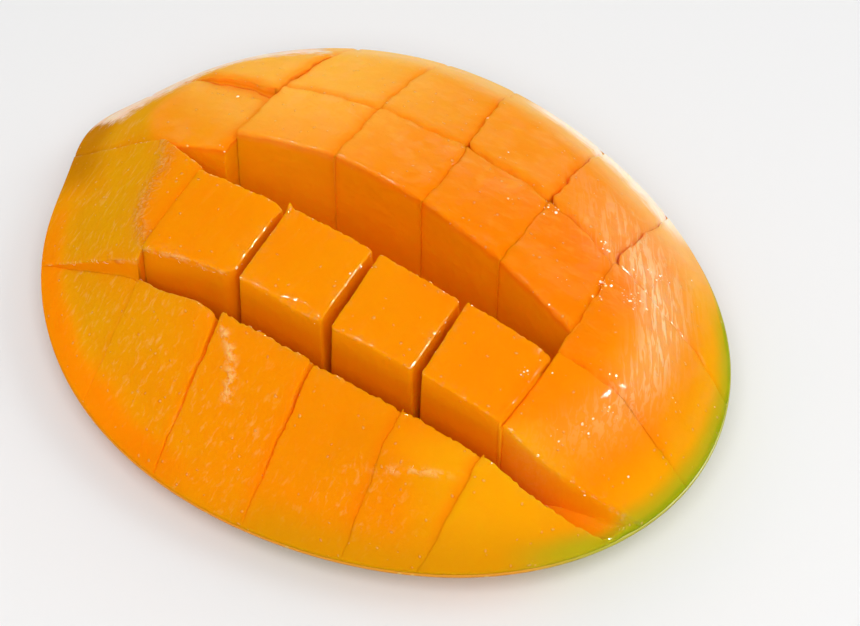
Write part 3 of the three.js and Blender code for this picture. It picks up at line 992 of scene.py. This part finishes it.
def pulpMaterial():
    material, board = newMaterial("ripePulp", pulpColours)
    paint = board.paint
    where = board.where()
    mark = {name: board.mark(name) for name in ("rimGap", "wall", "edge", "outer", "fray", "streak",
                                                "band", "farRow", "secondRow", "fold", "seam")}
    level = board.vector("MULTIPLY", where, (1, 1, 0))
    facing = board.vector("NORMALIZE", level)

    def along(degrees, vector):
        heading = (math.cos(math.radians(degrees)), math.sin(math.radians(degrees)), 0)
        return board.vector("DOT_PRODUCT", vector, heading, "Value")

    def zone(degrees, low, high):
        # 1 on the side of the cheek that the angle points to, fading out as the cosine falls
        return board.ease(along(degrees, facing), low, high)

    def grain(degrees, longways, sideways, distortion=0.4):
        # noise drawn out along one direction, in marks per metre
        turned = board.joined(along(degrees, where) * longways, along(degrees + 90, where) * sideways,
                              place.output("Z") * (sideways * 0.7))
        return board.noise(turned, 1, 2.5, 0.6, distortion)

    place = board.split(where)
    turn = place.output("Y").math("ARCTAN2", place)
    mottle = board.noise(where, 110, 2, 0.55)
    fine = board.noise(where, 620, 3, 0.62)
    wisps = grain(5, 300, 640)
    fibres = grain(-100, 190, 1300)
    streaks = grain(-57, 130, 1200, 0.9)
    upright = board.noise(board.vector("MULTIPLY", where, (900, 900, 90)), 1, 2, 0.6, 0.3)
    aroundRim = board.joined(turn * 14, mark["rimGap"] * 1.7)
    rimStreaks = board.noise(aroundRim, 1, 3, 0.62, 0.5)
    gaps = {name: mark["rimGap"] + (mottle - 0.5) * waver for name, waver in rimWavers.items()}
    gap = gaps["wide"]
    raggedGap = mark["rimGap"] + (rimStreaks - 0.5) * 3.0
    top = 1 - mark["wall"]

    board.colour = board.blend(board.ease(mottle, 0.3, 0.75), "heart", "amber")
    leftward = 1 - board.ease(place, -0.03, 0.0)
    lastBlocks = board.ease(place, 0.036, 0.045)
    rightward = board.ease(place, -0.02, 0.035) * (1 - lastBlocks)
    deeper = rightward * (0.2 + mark["secondRow"] * 0.25 + mark["farRow"] * 0.4)
    deeper = deeper + mark["secondRow"] * board.ease(place, -0.034, -0.02) * (1 - lastBlocks) * 0.25
    paint(deeper, "ember")
    peachSlope = zone(135, 0.76, 0.9)
    leftSlope = zone(178, -0.2, 0.45) * mark["outer"] * (1 - peachSlope)
    # the left slope's olive is partly the flesh's own yellower colour near the skin, partly painted shade
    # where the slope turns from the light
    paint(leftSlope * (0.78 + (mottle - 0.5) * 0.8), "olive")
    paint(zone(-80, 0.5, 0.95) * 0.6, "amber")
    # the far rows get a paler pink tone in streaks: painted sheen of the light from behind
    rosy = mark["farRow"] * (0.36 - rightward * 0.24)
    rosy = rosy + board.ease(wisps, 0.46, 0.7) * (mark["farRow"] * 0.26 + mark["secondRow"] * 0.16)
    paint(rosy * (1 - leftSlope) * (1 - lastBlocks * 0.9), "roseSheen")
    # peach lightens the left end of the far rows (painted light) and the far-left slope (painted
    # highlight)
    peachy = leftward * (mark["farRow"] * 0.24 + mark["secondRow"] * 0.06 + peachSlope * 0.4)
    paint(peachy * (1 - leftSlope), "peachLight")
    honey = zone(-36, 0.95, 1.0) * (1 - board.ease(mark["rimGap"], 11, 17))
    paint(honey, "honey")
    # cut walls: a little darker and redder deep in the cuts (painted shade), lighter on the second row
    # and lighter still on the left (painted light)
    litBackWall = board.blend(leftward, "litBackWall", "litLeftWall")
    wallColour = board.mix(mark["secondRow"], board.palette["wall"], litBackWall)
    board.colour = board.mix(mark["wall"] * 0.9, board.colour, wallColour)
    leftOrNear = zone(-135, -0.1, 0.3)
    pale = board.ease(fibres, 0.52, 0.78) * top * (mark["outer"] * 0.22 + 0.03) * leftOrNear
    paint(pale, "fibreAndSheen")

    # closed creases are painted a deeper orange: painted shade
    creaseShadeOnTop = mark["seam"] * top * (1 - leftSlope * 0.7)
    paint(creaseShadeOnTop, "seam")
    for name, degrees, cosines, reach, waver, share in rimColours:
        paint(zone(degrees, *cosines) * (1 - board.ease(gaps[waver], *reach)) * share, name)

    # the band on the right slope is lightened in streaks: painted sheen
    band = mark["band"] * (0.32 + board.ease(streaks, 0.47, 0.58) * 0.68)
    paint(band * 0.9, "bandSheen")
    torn = board.ease(fine, 0.42, 0.62) * (mark["fray"] * 0.5 + mark["streak"] * 1.3)
    paint(torn * 0.75, "fibreAndSheen")
    wrinkles = grain(60, 500, 800, 2.2)
    wrinkled = mark["fold"] * board.ease(wrinkles, 0.42, 0.66) * top
    paint(wrinkled * 0.42, "fibreAndSheen")
    # the far rim is lightened with the pale fibre colour: painted sheen from the light behind
    farRim = mark["farRow"] * (1 - board.ease(gap, 2, 10)) * zone(84, 0.5, 0.8) * 0.7
    paint(farRim, "fibreAndSheen")
    # the whitish patches at the far-right and far-left rim, blotchy and ragged-edged, are painted
    # reflections of the light behind
    rimSheen = zone(66, 0.9, 0.96) * (1 - board.ease(raggedGap, 0.9, 4.2))
    leftSheenGap = mark["rimGap"] + (rimStreaks - 0.5) * 7 + (fine - 0.5) * 9
    leftRimSheen = board.ease(zone(155, 0.9, 0.965) + (rimStreaks - 0.5) * 0.9, 0.3, 0.6)
    leftRimSheen = leftRimSheen * (1 - board.ease(leftSheenGap, 4.0, 9.0))
    paint(rimSheen, "rimSheen")
    blotch = rimStreaks * 0.7 + mottle * 0.3
    whitish = board.blend(board.ease(blotch, 0.4, 0.6), "dimRimSheen", "leftRimSheen")
    board.colour = board.mix(leftRimSheen, board.colour, whitish)
    rimSheen = rimSheen.math("MAXIMUM", leftRimSheen)
    bent = board.noise(where, 300, 2, 0.5)
    jumbled = board.add("ShaderNodeVectorMath", {"operation": "MULTIPLY_ADD"}, {
        0: bent.output("Color"), 1: (0.0016, 0.0016, 0.0016), 2: where})
    dots = board.cells(jumbled, 620)
    speck = (1 - board.ease(dots, 0.06, 0.18)) * board.ease(dots.output("Color"), 0.44, 0.5) * top
    paint(speck * 0.4, "fibreAndSheen")

    height = (fine * 0.7 + mottle * 0.5 + wisps * (mark["farRow"] + mark["secondRow"]) * 0.8
              + fibres * mark["outer"] * leftOrNear * 0.4 + upright * mark["wall"] * 0.4
              + streaks * mark["band"] * 2.6 + rimStreaks * rimSheen * 1.6 + torn * 1.2 + speck * 1.0
              + wrinkled * 1.6 + leftRimSheen * fine * 2)
    bump = board.bump(height, 0.8, pulpLook["bump"])
    wet = board.ease(board.noise(where, 260, 3, 0.6), 0.45, 0.6)
    dashes = board.ease(board.noise(where, 950, 2, 0.55), 0.52, 0.58)
    film = mark["farRow"] * 0.1 + mark["secondRow"] * 0.1 + mark["band"] * 0.35 + 0.03
    film = (film + rimSheen * 0.12) * (0.2 + wet * 0.8)
    film = film + mark["edge"] * dashes * (0.35 + wet * 0.9)
    film = film * (1 - leftSlope * 0.75) * (1 - creaseShadeOnTop * 1.5)
    # painted light: emission makes the near-left rim, the left end of the far rows, the torn streak and
    # the whitish rim patches glow
    edgeGlow = zone(-140, 0.8, 0.97) * (1 - board.ease(gap, 2, 7)) * top
    farGlow = leftward * (mark["farRow"] * 0.5 + mark["secondRow"] * 0.1) * top * (1 - leftSlope)
    glow = board.blend(edgeGlow + farGlow + mark["streak"] * 0.6, "none", "edgeGlow")
    glow = board.mix(rimSheen, glow, board.palette["rimSheenGlow"])
    board.surface({
        "Base Color": board.colour, "Roughness": pulpLook["roughness"] + (fine - 0.5) * 0.3,
        "Subsurface Weight": pulpLook["scatter"], "Subsurface Radius": pulpLook["colourReach"],
        "Subsurface Scale": pulpLook["reach"], "IOR": pulpLook["refraction"], "Specular IOR Level": 0,
        "Emission Color": glow, "Emission Strength": 1.0,
        "Coat Weight": film.math("MINIMUM", 1).math("MAXIMUM", 0),
        "Coat Roughness": pulpLook["juiceRoughness"], "Coat IOR": pulpLook["juiceRefraction"],
        "Normal": bump})
    return material


# peel finish

peelColours = {"leaf": toLinear(118, 140, 26), "yellow": toLinear(206, 168, 34),
               "blush": toLinear(222, 104, 22), "dot": toLinear(226, 206, 120),
               "speck": toLinear(92, 84, 24), "cutEdge": toLinear(240, 150, 20),
               "lime": toLinear(190, 180, 34)}


def peelMaterial():
    material, board = newMaterial("waxyPeel", peelColours)
    where = board.where()
    level = board.vector("MULTIPLY", where, (1, 1, 0))
    facing = board.vector("NORMALIZE", level)
    cloud = board.noise(where, 38, 4, 0.55, 0.3)
    toGreen = board.vector("DOT_PRODUCT", facing, (0.9, -0.43, 0), "Value") + (cloud - 0.5) * 1.6
    toRed = board.vector("DOT_PRODUCT", facing, (-0.86, -0.5, 0), "Value") + (cloud - 0.5) * 1.2
    board.colour = board.blend(board.ease(toGreen, -0.1, 0.8), "yellow", "leaf")
    board.paint(board.ease(toRed, 0.1, 0.85), "blush")
    # the peel's cut edge at the rim has its own paler colour, made lighter still because its upright
    # faces sit in shade: partly painted light
    outward = board.vector("LENGTH", level, output="Value")
    nearRim = board.ease(outward, 0.04, 0.046)
    toLime = board.vector("DOT_PRODUCT", facing, (1, 0.05, 0), "Value")
    rimColour = board.blend(board.ease(toLime, 0.78, 0.92), "cutEdge", "lime")
    board.colour = board.mix(nearRim * 0.85, board.colour, rimColour)
    dot = 1 - board.ease(board.cells(where, 420), 0.1, 0.2)
    board.paint(dot * 0.55, "dot")
    speck = 1 - board.ease(board.cells(where, 150), 0.03, 0.07)
    board.paint(speck * 0.7, "speck")
    pores = board.noise(where, 1500, 2, 0.5)
    height = pores * 0.3 + dot * 0.6 + cloud * 0.8
    bump = board.bump(height, 0.5, 0.0002)
    board.surface({"Base Color": board.colour, "Roughness": 0.4 + (cloud - 0.5) * 0.2, "IOR": 1.45,
                   "Specular IOR Level": 0.25, "Normal": bump})
    return material


# peel: a thin closed bowl whose shape follows the rim's formula

peelSizes = {"Segments": 361, "Rings": 70, "Half length": rim["halfLength"] * mm,
             "Half width": rim["halfWidth"] * mm, "Rim height": rim["height"] * mm,
             "Rim lean": rim["lean"] * mm, "Thickness": bowl["skin"] * mm, "Waviness": 0.00035}


def buildPeel(material):
    recipe = Recipe("peelBowl", peelSizes)
    grid = recipe.add("GeometryNodeMeshGrid", {}, {
        "Size X": 1, "Size Y": 1, "Vertices X": recipe.given("Segments"),
        "Vertices Y": recipe.given("Rings")})
    corner = recipe.add("GeometryNodeInputPosition")
    across = recipe.split(corner)
    part = across.output("Y") + 0.5
    angle = (across + 0.5) * (2 * math.pi)
    cosine, sine = angle.math("COSINE"), angle.math("SINE")
    oval = (cosine / recipe.given("Half length")) ** 2 + (sine / recipe.given("Half width")) ** 2
    oval = 1 / oval ** 0.5
    bent = oval * (1 + (angle * 2 + 0.8).math("COSINE") * rim["squareness"]
                   + (angle * 3 + 0.1).math("COSINE") * rim["egg"])
    away = (angle - math.radians(rim["cornerAt"])) / math.radians(rim["cornerSpread"])
    bulge = (away * away * -1).math("EXPONENT") * (rim["cornerReach"] * mm)
    radius = (bent + bulge) * part
    rise = ((part - bowl["restSpot"]) / (1 - bowl["restSpot"])).math("MAXIMUM", 0) ** bowl["power"]
    height = (recipe.given("Rim height") + sine * recipe.given("Rim lean")) * rise
    flat = recipe.joined(radius * cosine, radius * sine)
    waves = recipe.noise(flat, 45, 2, 0.5)
    wavy = recipe.ease(part, 0.25, 0.6) * (1 - recipe.ease(part, 0.88, 0.99))
    height = height + waves * recipe.given("Waviness") * wavy
    shaped = recipe.joined(radius * cosine, radius * sine, height)
    cup = recipe.merged(recipe.add("GeometryNodeSetPosition", {}, {"Geometry": grid, "Position": shaped}))
    lift = recipe.joined(z=recipe.given("Thickness"))
    thick = recipe.add("GeometryNodeExtrudeMesh", {}, {
        "Mesh": cup, "Offset": lift, "Offset Scale": 1, "Individual": False})
    under = recipe.add("GeometryNodeFlipFaces", {}, {"Mesh": cup})
    whole = recipe.add("GeometryNodeJoinGeometry", {}, {"Geometry": [under, thick]})
    recipe.finish(recipe.smoothed(recipe.merged(whole)), material)
    return recipe.make("mangoPeel")


# relief that moves the flesh surface: soft swells, a fine grain, and ripples on the two far rows

reliefSizes = {"Swell size": 0.0058, "Swell height": 0.00042, "Grain size": 0.0014,
               "Grain height": 0.00016, "Crease grain": 0.0001, "Ripple height": 0.0003}


def buildRelief(mesh, material):
    recipe = Recipe("pulpRelief", reliefSizes, base=True)
    place = recipe.add("GeometryNodeInputPosition")
    normal = recipe.add("GeometryNodeInputNormal")
    wall, crease, edge = recipe.named("wall"), recipe.named("crease"), recipe.named("edge")
    rimSide = recipe.ease(recipe.named("rimGap"), 0.3, 2)
    swell = recipe.noise(place, 1 / recipe.given("Swell size"), 2, 0.5) - 0.5
    grain = recipe.noise(place, 1 / recipe.given("Grain size"), 2, 0.6) - 0.5
    across = recipe.split(place).output("Y")
    farther = 0.6 + recipe.ease(across, 0.0, 0.035)
    rippled = recipe.noise(recipe.vector("MULTIPLY", place, (160, 520, 300)), 1, 2, 0.5, 0.6) - 0.5
    wavy = recipe.named("farRow") * 0.9 + recipe.named("secondRow") * 0.35 + recipe.named("band")
    wavy = wavy * (1 - wall)
    move = swell * recipe.given("Swell height") * (1 - wall * 0.6) * farther
    move = move + rippled * recipe.given("Ripple height") * wavy
    grainy = recipe.given("Grain height") * (1 - wall * 0.7) + crease * recipe.given("Crease grain")
    move = (move + grain * grainy) * rimSide * (1 - edge * 0.3)
    offset = recipe.add("ShaderNodeVectorMath", {"operation": "SCALE"}, {0: normal, "Scale": move})
    moved = recipe.add("GeometryNodeSetPosition", {}, {
        "Geometry": recipe.given("Geometry"), "Offset": offset})
    recipe.finish(moved, material)
    return recipe.make("mangoFlesh", mesh)


# juice: tiny wet beads on the cut faces, thickest on edges and in a few places

juiceColours = {"deep": (0.97, 0.42, 0.03), "pale": (1.0, 0.88, 0.66)}
beadSizes = {"Density": 900000.0, "Smallest": 0.00006, "Largest": 0.00028, "Seed": 5}
# places with many beads: x, y and reach in millimetres
wetSpots = [(33.7, 11.2, 1.0), (34.7, 6.7, 0.8), (29.9, 17.7, 0.7), (19.5, 18.6, 1.0), (35.6, 16.7, 0.8),
            (38.1, 11.1, 1.2), (44, -3.8, 0.6), (33.4, -11.5, 0.7), (51.7, 1.6, 0.6), (46.2, -7.8, 0.7),
            (44.4, -12.2, 0.5), (41.6, -16, 0.5), (28.6, 6.3, 0.6), (-29.4, 1.2, 0.5), (-34, 17.5, 0.6),
            (38, 21, 1.0), (19, -18.3, 0.3), (19, -13.6, 0.3)]


def juiceMaterial():
    material, board = newMaterial("clearJuice", juiceColours)
    where = board.where()
    tone = board.noise(where, 1600, 1, 0.5)
    # pale beads and a faint glow stand in for bright glints on the juice: painted highlight and painted
    # light
    pale = board.ease(tone, 0.42, 0.56) * 0.7 + board.mark("farRow") * 0.2
    colour = board.blend(pale, "deep", "pale")
    board.surface({
        "Base Color": colour, "Roughness": 0.05 + tone * 0.06, "IOR": 1.5, "Coat Weight": 1.0,
        "Coat Roughness": 0.1, "Coat IOR": 2.0, "Emission Color": colour, "Emission Strength": 0.2})
    return material


def buildBeads(flesh, material):
    recipe = Recipe("juiceBeads", beadSizes, base=True)
    wall, edge, band = recipe.named("wall"), recipe.named("edge"), recipe.named("band")
    gap = recipe.ease(recipe.named("rimGap"), 0.8, 2.5)
    place = recipe.add("GeometryNodeInputPosition")
    across = recipe.split(place).output("Y")
    patches = recipe.ease(recipe.noise(place, 160, 2, 0.6), 0.5, 0.68)
    share = (0.004 + patches * 0.02 + edge ** 2 * 0.55 + band * 0.03) * gap
    share = share * (0.25 + recipe.ease(across, -0.024, -0.002) * 0.75)
    level = recipe.vector("MULTIPLY", place, (1, 1, 0))
    for x, y, reach in wetSpots:
        away = recipe.vector("DISTANCE", level, (x * mm, y * mm, 0), "Value") / (reach * mm)
        share = share + (away * away * -1).math("EXPONENT") * 3.5
    share = share * (1 - wall * 0.98)
    points = recipe.scatter(share)
    bead = recipe.smoothed(recipe.add("GeometryNodeMeshIcoSphere", {}, {"Radius": 1, "Subdivisions": 2}))
    size = recipe.chance(0.0, 1.0, recipe.given("Seed"))
    size = recipe.given("Smallest") + size ** 3 * (recipe.given("Largest") - recipe.given("Smallest"))
    squashed = recipe.joined(size, size, size * 0.4)
    recipe.finish(recipe.placed(points, bead, points.output("Rotation"), squashed), material)
    return recipe.make("juiceBeads", flesh.data.copy())


# threads: short pale fibres pulled up where the knife tore the flesh

fibreColours = {"deep": (0.95, 0.55, 0.18), "pale": (0.98, 0.75, 0.46)}
threadSizes = {"Density": 1700000.0, "Length": 0.00055, "Thickness": 0.000022, "Lift": 0.0001, "Seed": 3}


def threadMaterial():
    material, board = newMaterial("paleFibre", fibreColours)
    where = board.where()
    tone = board.noise(where, 500, 2, 0.5)
    colour = board.blend(tone, "deep", "pale")
    board.surface({
        "Base Color": colour, "Roughness": 0.35 + tone * 0.2, "IOR": 1.38, "Subsurface Weight": 0.3,
        "Subsurface Scale": 0.0005})
    return material


def buildThreads(flesh, material):
    recipe = Recipe("pulpThreads", threadSizes, base=True)
    calm = recipe.named("crease") * (1 - recipe.named("edge"))
    fray = recipe.named("fray").math("MAXIMUM", recipe.named("streak")) * (1 - calm)
    gap = recipe.ease(recipe.named("rimGap"), 1.5, 3)
    points = recipe.scatter(fray ** 2 * gap)
    half = recipe.given("Length") * 0.5
    start = recipe.joined(x=half * -1, z=recipe.given("Lift") * -0.5)
    bend = recipe.joined(y=half * 0.3, z=recipe.given("Lift") * 2)
    end = recipe.joined(x=half, z=recipe.given("Lift") * -0.5)
    arc = recipe.add("GeometryNodeCurveQuadraticBezier", {}, {
        "Resolution": 5, "Start": start, "Middle": bend, "End": end})
    around = recipe.add("GeometryNodeCurvePrimitiveCircle", {}, {
        "Resolution": 5, "Radius": recipe.given("Thickness")})
    thread = recipe.smoothed(recipe.add("GeometryNodeCurveToMesh", {}, {
        "Curve": arc, "Profile Curve": around, "Fill Caps": True}))
    spin = recipe.joined(z=recipe.chance(0.0, 2 * math.pi, recipe.given("Seed")))
    turned = recipe.add("FunctionNodeRotateRotation", {"rotation_space": "LOCAL"}, {
        "Rotation": points.output("Rotation"), "Rotate By": spin})
    size = recipe.chance(0.4, 1.5, recipe.given("Seed") + 1)
    recipe.finish(recipe.placed(points, thread, turned, size), material)
    return recipe.make("pulpThreads", flesh.data.copy())


pulp = pulpMaterial()
flesh = buildFlesh()
marks = surfaceMarks(dict(zip(fields, flesh.table().T)))
bareMesh = meshFrom("fleshBare", flesh.points(), np.concatenate(flesh.faces), pulp, marks)
fleshPiece = buildRelief(bareMesh, pulp)
print("flesh built")
peelPiece = buildPeel(peelMaterial())
print("peel built")
beadPiece = buildBeads(fleshPiece, juiceMaterial())
print("juice built")
threadPiece = buildThreads(fleshPiece, threadMaterial())
print("threads built")

for piece in (fleshPiece, peelPiece, beadPiece, threadPiece):
    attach(piece, "root")
    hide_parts("mango_cheek")


# floor, lights and camera

stage = {"floor": (0.84, 0.84, 0.84, 1), "half": 2, "sky": 0.45}
lights = {"frontBox": {"at": (0.27, -0.41, 0.76), "size": (0.6, 0.6), "power": 5.0},
          "backBox": {"at": (-0.35, 0.9, 0.3), "size": (1.4, 0.8), "power": 3.2},
          "rightGlint": {"at": (0.48, 0.34, 0.65), "size": (0.16, 0.16), "power": 24, "onlyGloss": True},
          "nearGlint": {"at": (-0.3, -0.02, 0.84), "size": (0.16, 0.16), "power": 3.5, "onlyGloss": True},
          "sideFill": {"at": (0.5, 0.35, 0.6), "size": (0.4, 0.4), "power": 1.2}}
view = {"target": (0.0149, -0.008, 0.024), "azimuth": 32.9, "elevation": 52.0, "distance": 0.371,
        "lens": 105, "sensor": 36, "nearest": 0.01}


def buildStage():
    mesh = bpy.data.meshes.new("paleFloor")
    half = stage["half"]
    corners = [(-half, -half, 0), (half, -half, 0), (half, half, 0), (-half, half, 0)]
    mesh.from_pydata(corners, [], [(0, 1, 2, 3)])
    floor = addObject("paleFloor", mesh)
    material, board = newMaterial("paleTable")
    board.surface({"Base Color": stage["floor"], "Roughness": 0.7, "Specular IOR Level": 0})
    mesh.materials.append(material)
    world = bpy.data.worlds.new("softStudio")
    world.use_nodes = True
    backdrop = world.node_tree.nodes["Background"]
    backdrop.inputs["Color"].default_value = (1, 1, 1, 1)
    backdrop.inputs["Strength"].default_value = stage["sky"]
    bpy.context.scene.world = world


def addLight(name, look):
    data = bpy.data.lights.new(name, "AREA")
    data.energy = look["power"]
    data.shape = "RECTANGLE"
    data.size, data.size_y = look["size"]
    light = addObject(name, data)
    light.location = look["at"]
    light.rotation_euler = (-Vector(look["at"])).to_track_quat("-Z", "Y").to_euler()
    light.visible_diffuse = not look.get("onlyGloss", False)


def addCamera():
    turn, tilt = math.radians(view["azimuth"]), math.radians(view["elevation"])
    back = Vector((math.sin(turn) * math.cos(tilt), -math.cos(turn) * math.cos(tilt), math.sin(tilt)))
    data = bpy.data.cameras.new("tableCamera")
    data.lens = view["lens"]
    data.sensor_width = view["sensor"]
    data.clip_start = view["nearest"]
    camera = addObject("tableCamera", data)
    camera.location = Vector(view["target"]) + back * view["distance"]
    camera.rotation_euler = back.to_track_quat("Z", "Y").to_euler()
    bpy.context.scene.camera = camera


buildStage()
addCamera()
for name, look in lights.items():
    addLight(name, look)
bpy.context.scene.view_settings.view_transform = "Standard"
print("floor, lights and camera set")
